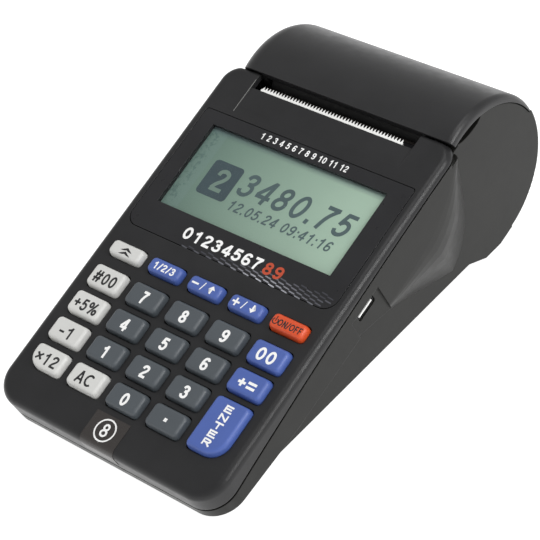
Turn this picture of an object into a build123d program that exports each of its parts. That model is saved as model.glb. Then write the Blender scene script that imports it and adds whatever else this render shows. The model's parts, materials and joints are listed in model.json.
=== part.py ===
from build123d import *
from math import acos, atan2, cos, hypot, pi, radians, sin
import os

# Portable cash register with a keyboard deck, a display and a drum-shaped paper compartment.
# Millimetres. World frame: +Z up, +X to the right, the user sits on the -Y side, table at Z = 0.
# Deck frame (v, w): v runs rearward along the sloping keyboard deck, w is square to it, deck top at w = 0.

os.makedirs("parts", exist_ok=True)

# ---- driving dimensions -------------------------------------------------------------------------
tilt = 17.3             # slope of the keyboard deck to the table, degrees
body_w = 88.4           # overall width across the keyboard case
front_v = -55.4         # front face
cover_rear_v = 70.3     # rear edge of the top cover
front_corner_r = 9.4    # plan corners at the front
rear_corner_r = 6.5     # plan corners at the rear, partly cut off by the rear edge
rear_cut = 1.2          # what the rear edge cuts off them
rim_r = 2.4             # rounding along the top cover's rim
wall = 2.2              # moulded wall of the housing
drum_r = 26.0           # paper drum, outside
drum_v = 75.6
drum_rise = 1.4         # top of the drum above the deck
drum_half = 42.2        # half length of the underbody, and the drum's right end
drum_left = 40.6        # the drum's left end
left_round = 6.2        # rounding of the drum's ends
right_round = 0.6
lid_right = 42.6        # right end of the lid, and its rounding
lid_round = 2.0
drum_clear = 1.2        # drum above the table
heel_clear = 0.4        # heel under the drum above the table
belly_h = 4.0           # flat underside above the table, which is the height of the feet
seam = 0.35             # half of the dark joint between cover and case
fit = 0.2               # play between parts that go into each other

key_pitch_x = 16.0
key_pitch_v = 9.81
key_x0 = -31.5          # centre of the first key column
key_top = 2.1           # key tops above the deck
key_travel = 1.2        # stroke of a key down to the mat
key_gap = 0.2           # around each key in its hole
key_w = 12.8
key_h = 7.8
short_key_h = 5.3

panel_w = 81.6          # display panel
panel_v0, panel_v1 = 9.5, 54.0
view_x0, view_x1 = -34.9, 33.3      # visible area of the display
view_v0, view_v1 = 19.7, 49.4

slot_half = 31.4        # paper slot
slot_front_v = 65.4
ramp_front_v = 58.2
ramp_drop = 0.5
cutter_w = 57.4
cutter_x = -0.5
paper_w = 57.0          # paper roll
roll_room = 7.4         # what its radius leaves free in the compartment

# ---- worked-out values --------------------------------------------------------------------------
tilt_sin = sin(radians(tilt))
tilt_cos = cos(radians(tilt))
drum_w = drum_rise - drum_r
deck_z = drum_clear + drum_r - (drum_v * tilt_sin + drum_w * tilt_cos)
front_y = (front_v + rim_r) * tilt_cos + rim_r * tilt_sin - rim_r
drum_rel_y = drum_v * tilt_cos - drum_w * tilt_sin
deck_y = -(front_y + drum_rel_y + drum_r) / 2
drum_y = deck_y + drum_rel_y
drum_z = drum_clear + drum_r

deck = Plane(origin=(0, deck_y, deck_z), x_dir=(1, 0, 0), z_dir=(0, -tilt_sin, tilt_cos))
profile = Plane(origin=(0, deck_y, deck_z), x_dir=(0, tilt_cos, tilt_sin), z_dir=(1, 0, 0))
far = 80.0              # longer than anything it cuts
past_rear_v = cover_rear_v + 2      # behind the rear edge and before the front face


def profile_at(x):
    """Side-view plane at a distance x from the middle of the machine."""
    return profile.offset(x)


def world(v, w):
    """World (Y, Z) of a point of the deck frame."""
    return (deck_y + v * tilt_cos - w * tilt_sin, deck_z + v * tilt_sin + w * tilt_cos)


def belly_w(v, lift=0.0):
    """Depth under the deck at which the flat underside passes v, or a level above it."""
    return (belly_h + lift - deck_z - v * tilt_sin) / tilt_cos


def around(centre, radius, angle):
    """Point of the deck frame on a circle about a centre."""
    return (centre[0] + radius * cos(radians(angle)), centre[1] + radius * sin(radians(angle)))


def plan_outline(inset, cut=True):
    """Rounded plan of the case in the current sketch, drawn in by an inset and cut off at the rear edge."""
    blank_rear_v = cover_rear_v + rear_cut
    with Locations((0, (blank_rear_v + front_v) / 2)):
        Rectangle(body_w - 2 * inset, blank_rear_v - front_v - 2 * inset)
    fillet(vertices().group_by(Axis.Y)[0], front_corner_r - inset)
    fillet(vertices().group_by(Axis.Y)[-1], rear_corner_r - inset)
    if cut:
        with Locations((0, cover_rear_v - inset + far / 2)):
            Rectangle(2 * far, far, mode=Mode.SUBTRACT)


def seam_line(lift):
    """Slightly bowed joint line between cover and case in the current side view."""
    ThreePointArc((front_v - 1, -8.0 + lift), (5, -3.6 + lift), (past_rear_v, -2.4 + lift))


def save(part, label):
    """Label a finished piece and write its STEP file."""
    part.label = label
    export_step(part, "parts/" + label + ".step")
    print(label, round(part.volume, 1))


up = Axis((0, deck_y, deck_z), (0, -tilt_sin, tilt_cos))
drum_c = (drum_v, drum_w)

# ---- keys: name, column, row, height --------------------------------------------------------------
KEYS = []
for column, name in enumerate(["feed", "shift", "minus", "plus", "power"]):
    KEYS.append((name, column, 0.0, short_key_h))
for index, name in enumerate(["7", "8", "9", "4", "5", "6", "1", "2", "3"]):
    KEYS.append((name, 1 + index % 3, 1.0 + index // 3, key_h))
for row, name in enumerate(["code", "group", "void", "count"]):
    KEYS.append((name, 0, row + 1.0, key_h))
for column, name in enumerate(["clear", "0", "point"]):
    KEYS.append((name, column + 1, 4.0, key_h))
KEYS.append(("pay", 4, 1.0, key_h))
KEYS.append(("subtotal", 4, 2.0, key_h))
KEYS.append(("enter", 4, 3.5, key_h + key_pitch_v))
key_corner = 1.2
wide_corners = {"count": (0, 4.6), "enter": (1, 6.2)}   # which front corner (0 left, 1 right), radius


def key_centre(column, row):
    """Middle of a key on the deck, where the short keys of row 0 stand a little further back."""
    nudge = 0.5 if row == 0 else 0.0
    return (key_x0 + column * key_pitch_x, nudge - row * key_pitch_v)


def key_outline(name, column, row, height, grow):
    """Outline of one key in the current sketch, grown by a margin."""
    with Locations(key_centre(column, row)):
        Rectangle(key_w + 2 * grow, height + 2 * grow)
    if name in wide_corners:
        side, radius = wide_corners[name]
        corner = vertices().group_by(Axis.Y)[0].sort_by(Axis.X)[-side]
        fillet(corner, radius + grow)
        fillet(vertices().group_by(Axis.Y)[-1], key_corner + grow)
        fillet(vertices().group_by(Axis.Y)[0].sort_by(Axis.X)[side - 1], key_corner + grow)
    else:
        fillet(vertices(), key_corner + grow)


# ---- top cover ------------------------------------------------------------------------------------
cover_t = 2.2           # plate thickness
skirt_t = 1.3
lens_t = 1.5            # display panel let into the cover
lens_gap = 0.25
post_r = 3.4            # screw posts under the cover
post_low_w = -8.6
screw_r = 1.25
POSTS = [(-36.5, -47.3), (36.5, -47.3), (-36.8, 9.6), (36.8, 9.6)]

with BuildPart() as top_cover:
    with BuildSketch(profile):
        with BuildLine():
            seam_line(seam)
            Line((past_rear_v, -2.4 + seam), (past_rear_v, 0))
            Line((past_rear_v, 0), (front_v - 1, 0))
            Line((front_v - 1, 0), (front_v - 1, -8.0 + seam))
        make_face()
    extrude(amount=body_w / 2, both=True)
    with BuildSketch(deck.offset(1)):
        plan_outline(0, cut=False)
    extrude(amount=-20, mode=Mode.INTERSECT)
    fillet(top_cover.faces().sort_by(up)[-1].edges(), rim_r)
    with BuildSketch(deck.offset(1)):
        with Locations((0, cover_rear_v + far / 2)):
            Rectangle(2 * far, far)
    extrude(amount=-20, mode=Mode.SUBTRACT)
    with BuildSketch(deck.offset(-cover_t)):
        plan_outline(skirt_t)
    extrude(amount=-20, mode=Mode.SUBTRACT)
    # paper slot, open to the rear edge, with a shallow ramp in front of it
    with BuildSketch(deck.offset(1)):
        with Locations((0, (slot_front_v + cover_rear_v + 5) / 2)):
            Rectangle(2 * slot_half, cover_rear_v + 5 - slot_front_v)
    extrude(amount=-20, mode=Mode.SUBTRACT)
    with BuildSketch(profile):
        with BuildLine():
            Polyline((ramp_front_v, 0), (slot_front_v + 1, -ramp_drop), (slot_front_v + 1, 1),
                     (ramp_front_v, 1), close=True)
        make_face()
    extrude(amount=slot_half, both=True, mode=Mode.SUBTRACT)
    # bed of the display panel and the opening under its window
    with BuildSketch(deck.offset(1)):
        with Locations((0, (panel_v0 + panel_v1) / 2)):
            Rectangle(panel_w, panel_v1 - panel_v0)
        fillet(vertices().group_by(Axis.Y)[0], 4.5)
        fillet(vertices().group_by(Axis.Y)[-1], 1.0)
    extrude(amount=-1 - lens_t, mode=Mode.SUBTRACT)
    with BuildSketch(deck.offset(1)):
        with Locations(((view_x0 + view_x1) / 2, (view_v0 + view_v1) / 2)):
            Rectangle(view_x1 - view_x0 + 2, view_v1 - view_v0 + 2)
    extrude(amount=-8, mode=Mode.SUBTRACT)
    for key in KEYS:
        with BuildSketch(deck.offset(1)):
            key_outline(*key, key_gap)
        extrude(amount=-8, mode=Mode.SUBTRACT)
    with BuildSketch(deck.offset(post_low_w)):
        with Locations(*POSTS):
            Circle(post_r)
            Circle(screw_r, mode=Mode.SUBTRACT)
    extrude(amount=-cover_t + 0.01 - post_low_w)
save(top_cover.part, "top_cover")

# ---- lower case -----------------------------------------------------------------------------------
disc_r = drum_r - 0.4   # end walls of the drum, a circle set a little lower than the drum itself
disc_c = (drum_v - 0.8, drum_w - 2.5)
inner_r = drum_r - 2.6  # paper compartment
inner_half = 39.2
heel_rear = 1.5         # rear corner of the heel behind the drum's axis
end_r = inner_r - 0.5   # compartment at its left end, inside the drum's rounding
end_step_x = -36.4
bulkhead_t = 1.6
hinge_angle = -4.0
barrel_r = 2.6          # hinge barrel of the lid
barrel_clear = 3.6      # hollow in the case round the barrel
hinge_c = around(drum_c, drum_r - barrel_r, hinge_angle)
pin_r = 1.0
pin_half = 40.4
lid_front_angle = 101.0
lid_rear_angle = -8.0
cheek_x = 29.4          # guides beside the paper roll
cheek_t = 1.6
cheek_top_w = drum_w - 0.4
mech_low_w = drum_w     # opening of the bulkhead for the printer
mech_front_v = 48.0
tongue_up = 1.6         # rise of the case's lip inside the cover's skirt
flare_step = 0.3        # low step round the flared rear of the side wall
flare_root = 0.4
port_v = 18.2           # micro USB socket in the right side
port_w = -8.9
port_long, port_high = 8.0, 3.1
recess_v0, recess_v1 = 11.4, 24.8
recess_depth = 0.6
recess_top_w = -7.0
main_w = -10.3          # top of the main board, which slopes with the deck
main_v0, main_v1 = 9.5, 42.0
board_t = 1.2
battery_room = 1.6      # between the battery and the board over it
foot_r = 4.5
foot_seat = 0.5
FEET = [(-30.0, deck_y - 24.0), (30.0, deck_y - 24.0), (-33.0, deck_y + 52.0), (33.0, deck_y + 52.0)]
bay_y = deck_y + 20.0   # battery bay in the underside
bay_long = 46.0
bay_wide = 62.0
bay_lip = 3.0
door_t = 1.6
DOOR_SCREW = (0, bay_y + bay_long / 2 - 3.4)
door_screw_r = 1.0
boss_r = 4.6
STANDOFFS = [(-36, -30, -7.1), (36, -30, -7.1), (-36, -5, -7.1), (36, -5, -7.1),
             (-36, 18, -11.5), (36, 28, -11.5), (-36, 39, -11.5), (36, 39, -11.5)]
standoff_r = 2.0
head_r = 2.8
head_clear_r = 3.2
HEAD_SEATS = [-10.3, -10.3, -14.0, -14.0]
ledge_w = -24.2         # ledges that carry the printer frame
ledge_front_v, ledge_rear_v = 50.5, 60.0
ledge_x = 34.6

# side view of the wide tray, and the flared rear end of its side walls: where the wall turns in and where it ends
TRAY = [(front_v, -11.4), (-20, -14.3), (12, -14.3), (24, -16.4), (36, -15.4), (48, -12.2), (58, -8.6),
        (65, -5.4), (68.8, -2.8)]
FLARE_TURN = [(13.6, -14.5), (24, -16.2), (36, -15.4), (47, -12.4), (58, -8.6), (64.5, -5.6), (68.6, -3.4)]
FLARE_END = [(13.4, -15.0), (25.5, -20.8), (36.5, -28.0), (49.5, -36.6), (61.4, -27.6), (67.0, -14.0), (69.9, -3.2)]
FLARE_CORNER = 3        # point at which the lower edge turns up to the rear edge
FLARE_START = (14.0, -10.0)
FLARE_STEPS = 8
HOLLOW = [(71.7, -1.6), (74.1, -3.1), (77.1, -3.9), (80.2, -4.3), (82.3, -4.2), (84.2, -3.3)]
hollow_depth = 1.4
TRAY_HOLLOW = [(front_v + wall, 5), (front_v + wall, -9.2), (-20, -12.1), (20, -12.1), (46, -10.0), (48, 5)]


def flare_outline(share):
    """Side-view outline of the flared wall, a share of the way from its end to where the wall turns in."""
    points = [(end[0] + (turn[0] - end[0]) * share, end[1] + (turn[1] - end[1]) * share)
              for end, turn in zip(FLARE_END, FLARE_TURN)]
    with BuildLine() as outline:
        Line(FLARE_START, points[0])
        Spline(*points[:FLARE_CORNER + 1])
        Spline(*points[FLARE_CORNER:])
        Line(points[-1], FLARE_START)
    make_face(outline.edges())


def share_depth(share):
    """Share of the flare's depth that is reached at a share of its height."""
    return 1 - (1 - share) ** 3


def sector(angle0, angle1):
    """Wedge from the drum's axis outward between two angles, in the current side-view sketch."""
    middle = (angle0 + angle1) / 2
    with BuildLine() as outline:
        Polyline(drum_c, around(drum_c, far, angle0), around(drum_c, far, middle),
                 around(drum_c, far, angle1), close=True)
    make_face(outline.edges())


def heel_touch():
    """World (Y, Z) of the place where the heel's rear face runs into the drum."""
    low = drum_z - heel_clear
    angle = atan2(-low, heel_rear) + acos(drum_r / hypot(low, heel_rear))
    return (drum_y + drum_r * cos(angle), drum_z + drum_r * sin(angle))


# what the case is hollowed by: the tray, the space above the flat underside and the screw bosses left in it
with BuildPart() as hollow:
    with BuildSketch(profile):
        with BuildLine():
            Polyline(*TRAY_HOLLOW, close=True)
        make_face()
    extrude(amount=body_w / 2 - wall, both=True)
    with BuildSketch(deck.offset(6)):
        plan_outline(wall)
    extrude(amount=-60, mode=Mode.INTERSECT)
    with BuildSketch(profile):
        with BuildLine():
            Polyline((-34, 5), (-34, belly_w(-34, wall)), (60, belly_w(60, wall)), (60, 5), close=True)
        make_face()
    extrude(amount=inner_half, both=True)
    with BuildSketch(profile):
        with Locations(drum_c):
            Circle(inner_r + bulkhead_t)
    extrude(amount=inner_half + 1, both=True, mode=Mode.SUBTRACT)
    with BuildSketch(profile):
        with BuildLine():
            Polyline((mech_front_v, mech_low_w), (drum_v, mech_low_w), (drum_v, 5), (mech_front_v, 5), close=True)
        make_face()
    extrude(amount=inner_half, both=True)
    with BuildSketch(profile_at(end_step_x)):
        with Locations(drum_c):
            Circle(inner_r)
    extrude(amount=inner_half - end_step_x)
    with BuildSketch(profile_at(-inner_half)):
        with Locations(drum_c):
            Circle(end_r)
    extrude(amount=inner_half + end_step_x)
    with BuildSketch(profile):
        sector(lid_rear_angle, lid_front_angle)
    extrude(amount=inner_half, both=True)
    # left standing: guides for the roll, ledges for the printer frame, bosses for the screws
    for side in (-1, 1):
        with BuildSketch(profile_at(side * (cheek_x + cheek_t / 2))):
            with Locations(drum_c):
                Circle(inner_r + 0.5)
            with Locations((drum_v, cheek_top_w + far / 2)):
                Rectangle(far, far, mode=Mode.SUBTRACT)
        extrude(amount=cheek_t / 2, both=True, mode=Mode.SUBTRACT)
        with BuildSketch(deck.offset(ledge_w)):
            with Locations((side * (ledge_x + inner_half) / 2, (ledge_front_v + ledge_rear_v) / 2)):
                Rectangle(inner_half - ledge_x + 0.2, ledge_rear_v - ledge_front_v)
        extrude(amount=-4, mode=Mode.SUBTRACT)
    with BuildSketch(deck.offset(post_low_w - 0.1)):
        with Locations(*POSTS):
            Circle(boss_r)
    extrude(amount=-60, mode=Mode.SUBTRACT)
    for x, v, w in STANDOFFS:
        with BuildSketch(deck.offset(w)):
            with Locations((x, v)):
                Circle(standoff_r)
        extrude(amount=-60, mode=Mode.SUBTRACT)

# lip of the case inside the cover's skirt
with BuildPart() as tongue:
    with BuildSketch(deck.offset(-cover_t - 0.2)):
        plan_outline(skirt_t + 0.1)
    extrude(amount=-10)
    with BuildSketch(deck.offset(-cover_t)):
        plan_outline(wall)
    extrude(amount=-12, mode=Mode.SUBTRACT)
    with BuildSketch(profile):
        with BuildLine():
            seam_line(tongue_up)
            Line((past_rear_v, -2.4 + tongue_up), (past_rear_v, -3.4 - seam))
            Line((front_v - 1, -8.0 + tongue_up), (front_v - 1, -9.0 - seam))
            ThreePointArc((front_v - 1, -9.0 - seam), (5, -4.6 - seam), (past_rear_v, -3.4 - seam))
        make_face()
    extrude(amount=body_w, both=True, mode=Mode.INTERSECT)
    with BuildSketch(profile):
        with Locations((cover_rear_v, 0)):
            Rectangle(20, 20)
    extrude(amount=body_w, both=True, mode=Mode.SUBTRACT)

# the drum as a solid blank, rounder at its left end: once for the case and once for the lid
blanks = []
for right_end, rounding in ((drum_half, right_round), (lid_right, lid_round)):
    with BuildPart() as blank:
        with BuildSketch(profile_at(-drum_left)):
            with Locations(drum_c):
                Circle(drum_r)
        extrude(amount=drum_left + right_end)
        fillet(blank.edges().filter_by(GeomType.CIRCLE).sort_by(Axis.X)[0], left_round)
        fillet(blank.edges().filter_by(GeomType.CIRCLE).sort_by(Axis.X)[-1], rounding)
    blanks.append(blank.part)
case_drum, lid_drum = blanks

# flared rear end of a side wall: a stack of outlines that turns in more and more steeply
with BuildPart() as flare:
    with BuildSketch(profile_at(drum_left - flare_root)):
        flare_outline(0)
    extrude(amount=drum_half - drum_left + flare_root + flare_step)
    for step in range(FLARE_STEPS):
        for share in (step / FLARE_STEPS, (step + 1) / FLARE_STEPS):
            depth = drum_half + flare_step + (body_w / 2 - drum_half - flare_step) * share_depth(share)
            with BuildSketch(profile_at(depth)):
                flare_outline(share)
        loft(ruled=True)

with BuildPart() as lower_case:
    # wide tray under the cover
    with BuildSketch(profile):
        with BuildLine():
            seam_line(-seam)
            Polyline((past_rear_v, -2.4 - seam), *reversed(TRAY), (front_v - 1, TRAY[0][1]),
                     (front_v - 1, -8.0 - seam))
        make_face()
    extrude(amount=body_w / 2, both=True)
    with BuildSketch(deck.offset(1)):
        plan_outline(0)
    extrude(amount=-60, mode=Mode.INTERSECT)
    # narrower underbody with its heel, and the drum
    with BuildSketch(Plane.YZ):
        with BuildLine():
            Polyline(world(-39, -9), world(-39, belly_w(-39)), (drum_y - 13.6, belly_h),
                     (drum_y - 5.8, heel_clear), (drum_y + heel_rear, heel_clear),
                     heel_touch(), (drum_y + heel_rear, drum_z), world(69, -6), close=True)
        make_face()
    extrude(amount=drum_half, both=True)
    add(case_drum)
    add(flare.part)
    add(flare.part.mirror(Plane.YZ))
    # nothing of the drum stands above the cover's joint, and the lid's shell lies over the end walls
    with BuildSketch(profile):
        with BuildLine():
            seam_line(-seam)
            Polyline((past_rear_v, -2.4 - seam), (past_rear_v, 9), (front_v - 1, 9),
                     (front_v - 1, -8.0 - seam))
        make_face()
    extrude(amount=body_w / 2 + 1, both=True, mode=Mode.SUBTRACT)
    with BuildSketch(profile):
        sector(lid_rear_angle, lid_front_angle + 0.8)
        with Locations(disc_c):
            Circle(disc_r, mode=Mode.SUBTRACT)
        with Locations(hinge_c):
            Circle(barrel_clear - fit, mode=Mode.SUBTRACT)
    extrude(amount=drum_half + 0.01, both=True, mode=Mode.SUBTRACT)
    add(hollow.part, mode=Mode.SUBTRACT)
    with BuildSketch(profile):
        with Locations(hinge_c):
            Circle(barrel_clear)
    extrude(amount=inner_half, both=True, mode=Mode.SUBTRACT)
    with BuildSketch(profile):
        with Locations(hinge_c):
            Circle(pin_r)
    extrude(amount=pin_half, both=True, mode=Mode.SUBTRACT)
    add(tongue.part)
    # finger hollow at the right end of the lid's edge
    with BuildSketch(profile_at(drum_half)):
        with BuildLine():
            Spline(*HOLLOW)
            Polyline(HOLLOW[-1], (HOLLOW[-1][0], 3), (HOLLOW[0][0], 3), HOLLOW[0])
        make_face()
    extrude(amount=-hollow_depth, mode=Mode.SUBTRACT)
    # recess and opening of the socket in the right side
    with BuildSketch(profile_at(body_w / 2 - recess_depth)):
        with BuildLine():
            Polyline((recess_v0, recess_top_w), (recess_v1, recess_top_w), (recess_v1, -22), (recess_v0, -22),
                     close=True)
        make_face()
    extrude(amount=5, mode=Mode.SUBTRACT)
    with BuildSketch(profile_at(body_w / 2 - wall - 1)):
        with Locations((port_v, port_w)):
            RectangleRounded(port_long, port_high, 0.9)
    extrude(amount=9, mode=Mode.SUBTRACT)
    # battery bay, seats of the feet, screw holes
    with BuildSketch(Plane.XY.offset(belly_h - 1)):
        with Locations((0, bay_y)):
            RectangleRounded(bay_wide, bay_long, 2)
    extrude(amount=1 + door_t, mode=Mode.SUBTRACT)
    with BuildSketch(Plane.XY.offset(belly_h)):
        with Locations((0, bay_y)):
            RectangleRounded(bay_wide - 2 * bay_lip, bay_long - 2 * bay_lip, 2)
    extrude(amount=wall + 1, mode=Mode.SUBTRACT)
    with BuildSketch(Plane.XY.offset(belly_h + door_t)):
        with Locations(DOOR_SCREW):
            Circle(3.2)
    extrude(amount=4)
    with BuildSketch(Plane.XY.offset(belly_h)):
        with Locations(DOOR_SCREW):
            Circle(door_screw_r)
    extrude(amount=4.6, mode=Mode.SUBTRACT)
    with BuildSketch(Plane.XY.offset(belly_h - 1)):
        with Locations(*FEET):
            Circle(foot_r)
    extrude(amount=1 + foot_seat, mode=Mode.SUBTRACT)
    for post, seat in zip(POSTS, HEAD_SEATS):
        with BuildSketch(deck.offset(seat)):
            with Locations(post):
                Circle(head_clear_r)
        extrude(amount=-60, mode=Mode.SUBTRACT)
        with BuildSketch(deck.offset(0)):
            with Locations(post):
                Circle(screw_r + 0.3)
        extrude(amount=-60, mode=Mode.SUBTRACT)
save(lower_case.part, "lower_case")

# ---- underside: battery door, battery, feet, screws -------------------------------------------------
with BuildPart() as battery_door:
    with BuildSketch(Plane.XY.offset(belly_h)):
        with Locations((0, bay_y)):
            RectangleRounded(bay_wide - 2 * fit, bay_long - 2 * fit, 1.8)
        with Locations(DOOR_SCREW):
            Circle(door_screw_r + 0.2, mode=Mode.SUBTRACT)
    extrude(amount=door_t)
    with BuildSketch(Plane.XY.offset(belly_h)):
        with Locations(DOOR_SCREW):
            Circle(2.0)
    extrude(amount=0.9, mode=Mode.SUBTRACT)
save(battery_door.part, "battery_door")

with BuildPart() as door_screw:
    with BuildSketch(Plane.XY.offset(belly_h + 0.1)):
        with Locations(DOOR_SCREW):
            Circle(1.9)
    extrude(amount=0.8)
    with BuildSketch(Plane.XY.offset(belly_h + 0.9)):
        with Locations(DOOR_SCREW):
            Circle(door_screw_r)
    extrude(amount=3.6)
save(door_screw.part, "door_screw")

battery_long, battery_wide = 34.0, 54.0
battery_z = belly_h + wall + fit
battery_high = world(main_v0, main_w - board_t)[1] - battery_room - battery_z
with BuildPart() as battery_pack:
    with BuildSketch(Plane.XY.offset(battery_z)):
        with Locations((0, bay_y - 2.5)):
            RectangleRounded(battery_wide, battery_long, 3)
    extrude(amount=battery_high)
save(battery_pack.part, "battery_pack")

with BuildPart() as rubber_feet:
    with BuildSketch(Plane.XY):
        with Locations(*FEET):
            Circle(foot_r - 0.3)
    extrude(amount=0.6)
    with BuildSketch(Plane.XY.offset(0.6)):
        with Locations(*FEET):
            Circle(foot_r)
    extrude(amount=belly_h + foot_seat - 0.6)
save(rubber_feet.part, "rubber_feet")

with BuildPart() as case_screws:
    for post, seat in zip(POSTS, HEAD_SEATS):
        with BuildSketch(deck.offset(seat)):
            with Locations(post):
                Circle(head_r)
        extrude(amount=-1.6)
        with BuildSketch(deck.offset(seat - 1)):
            with Locations(post):
                Circle(screw_r)
        extrude(amount=post_low_w + 4.5 - seat + 1)
save(case_screws.part, "case_screws")

# ---- paper lid, hinge, platen ------------------------------------------------------------------------
lid_gap = 0.25
ear_x0, ear_x1 = 30.2, 32.2
platen_c = (74.0, -7.5)
platen_r = 4.5
platen_half = 29.0
shaft_r = 1.5
shaft_x0, shaft_x1 = 1.4 - inner_half, 33.2
bore_play = 0.05
EAR = [(70.9, -1.0), (70.3, -7.5), (71.2, -10.0), (74.0, -11.0), (76.8, -10.0), (77.7, -7.5), (79.0, -0.6)]
LIP = [(70.9, 0.6), (71.9, 1.0), (71.9, -2.2), (70.9, -2.2)]

with BuildPart() as paper_lid:
    add(lid_drum)
    with BuildSketch(profile):
        sector(hinge_angle, lid_front_angle)
    extrude(amount=body_w, both=True, mode=Mode.INTERSECT)
    with BuildSketch(profile_at(end_step_x)):
        with Locations(drum_c):
            Circle(inner_r)
    extrude(amount=inner_half - fit - end_step_x, mode=Mode.SUBTRACT)
    with BuildSketch(profile_at(-inner_half + fit)):
        with Locations(drum_c):
            Circle(end_r)
    extrude(amount=inner_half - fit + end_step_x, mode=Mode.SUBTRACT)
    for side in (-1, 1):
        with BuildSketch(profile_at(side * (inner_half - fit))):
            with Locations(disc_c):
                Circle(disc_r + lid_gap)
        extrude(amount=side * 10, mode=Mode.SUBTRACT)
    for side in (-1, 1):
        with BuildSketch(profile_at(side * (inner_half - fit))):
            with Locations(hinge_c):
                Circle(barrel_clear)
        extrude(amount=side * 10, mode=Mode.SUBTRACT)
    with BuildSketch(profile):
        with Locations(hinge_c):
            Circle(barrel_r)
    extrude(amount=inner_half - fit, both=True)
    with BuildSketch(profile):
        with BuildLine():
            Polyline(*LIP, close=True)
        make_face()
    extrude(amount=slot_half - 0.4, both=True)
    for side in (-1, 1):
        with BuildSketch(profile_at(side * ear_x0)):
            with BuildLine():
                Polyline(*EAR, close=True)
            make_face()
        extrude(amount=side * (ear_x1 - ear_x0))
    with BuildSketch(profile):
        with Locations(platen_c):
            Circle(shaft_r + bore_play)
        with Locations(hinge_c):
            Circle(pin_r + bore_play)
    extrude(amount=body_w, both=True, mode=Mode.SUBTRACT)
save(paper_lid.part, "paper_lid")

with BuildPart() as hinge_pin:
    with BuildSketch(profile):
        with Locations(hinge_c):
            Circle(pin_r)
    extrude(amount=pin_half - 0.1, both=True)
save(hinge_pin.part, "hinge_pin")

with BuildPart() as platen_shaft:
    with BuildSketch(profile_at(shaft_x0)):
        with Locations(platen_c):
            Circle(shaft_r)
    extrude(amount=shaft_x1 - shaft_x0)
save(platen_shaft.part, "platen_shaft")

with BuildPart() as platen_rubber:
    with BuildSketch(profile):
        with Locations(platen_c):
            Circle(platen_r)
            Circle(shaft_r, mode=Mode.SUBTRACT)
    extrude(amount=platen_half, both=True)
save(platen_rubber.part, "platen_rubber")

# ---- paper feed train ---------------------------------------------------------------------------------
module = 0.6
gear_x0, gear_x1 = -37.4, -34.6
mesh_play = 0.1
backlash = 0.16
PLATEN_TEETH, IDLER_TEETH, PINION_TEETH = 16, 20, 12
platen_to_idler = -128.0        # direction from one axis to the next, degrees
idler_to_pinion = 165.0
axle_r = 1.0
motor_shaft_r = 0.75


def pitch_radius(teeth):
    """Pitch radius of a gear."""
    return module * teeth / 2


idler_c = around(platen_c, pitch_radius(PLATEN_TEETH + IDLER_TEETH) + mesh_play, platen_to_idler)
pinion_c = around(idler_c, pitch_radius(IDLER_TEETH + PINION_TEETH) + mesh_play, idler_to_pinion)
platen_phase = platen_to_idler
idler_phase = platen_to_idler + 180 + 180 / IDLER_TEETH
idler_offset = (idler_phase - idler_to_pinion) % (360 / IDLER_TEETH)
pinion_phase = idler_to_pinion + 180 + 180 / PINION_TEETH - idler_offset * IDLER_TEETH / PINION_TEETH


def gear_outline(centre, teeth, phase, bore_radius):
    """Spur gear in the current side-view sketch, with a tooth at the phase angle."""
    root = pitch_radius(teeth) - 1.2 * module
    tip = pitch_radius(teeth) + 0.9 * module
    half_pitch = pi * module / 4 - backlash / 2
    with Locations(centre):
        Circle(root)
    with Locations(centre):
        with PolarLocations(0, teeth, phase):
            Polygon((root - 0.3, -half_pitch * 1.35), (root - 0.3, half_pitch * 1.35), (tip, half_pitch * 0.5),
                    (tip, -half_pitch * 0.5), align=None)
    with Locations(centre):
        Circle(bore_radius, mode=Mode.SUBTRACT)


with BuildPart() as platen_gear:
    with BuildSketch(profile_at(gear_x0)):
        gear_outline(platen_c, PLATEN_TEETH, platen_phase, shaft_r)
    extrude(amount=gear_x1 - gear_x0)
save(platen_gear.part, "platen_gear")

with BuildPart() as idler_gear:
    with BuildSketch(profile_at(gear_x0)):
        gear_outline(idler_c, IDLER_TEETH, idler_phase, axle_r + bore_play)
    extrude(amount=gear_x1 - gear_x0)
save(idler_gear.part, "idler_gear")

frame_x0, frame_x1 = 32.6, 33.8
with BuildPart() as motor_pinion:
    with BuildSketch(profile_at(gear_x0)):
        gear_outline(pinion_c, PINION_TEETH, pinion_phase, motor_shaft_r)
    extrude(amount=gear_x1 - gear_x0)
save(motor_pinion.part, "motor_pinion")

with BuildPart() as motor_shaft:
    with BuildSketch(profile_at(shaft_x0)):
        with Locations(pinion_c):
            Circle(motor_shaft_r)
    extrude(amount=2 - frame_x0 - shaft_x0)
save(motor_shaft.part, "motor_shaft")

with BuildPart() as idler_axle:
    with BuildSketch(profile_at(-38.0)):
        with Locations(idler_c):
            Circle(axle_r)
    extrude(amount=38.0 - frame_x0)
save(idler_axle.part, "idler_axle")

# ---- printer ------------------------------------------------------------------------------------------
motor_r = 6.0
motor_long = 11.5
head_v1 = platen_c[0] - platen_r - 0.3
head_t = 1.2
sink_t = 1.6
back_v0, back_v1 = 64.2, 65.2
SIDE_PLATE = [(54.5, -3.6), (66, -3.6), (69.0, -8), (70.4, -16), (69.4, -19.5), (58.5, -24.2), (51.5, -24.2),
              (51.5, -16)]
SPRING = [(65.25, -6), (65.6, -6), (66.35, -10), (65.6, -14), (65.25, -14), (65.25, -13.6), (66.0, -10),
          (65.25, -6.4)]

with BuildPart() as motor_body:
    with BuildSketch(profile_at(-frame_x0)):
        with Locations(pinion_c):
            Circle(motor_r)
    extrude(amount=motor_long)
    with BuildSketch(profile_at(-frame_x0)):
        with Locations(pinion_c):
            Circle(motor_shaft_r + bore_play)
    extrude(amount=2.2, mode=Mode.SUBTRACT)
save(motor_body.part, "motor_body")

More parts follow.
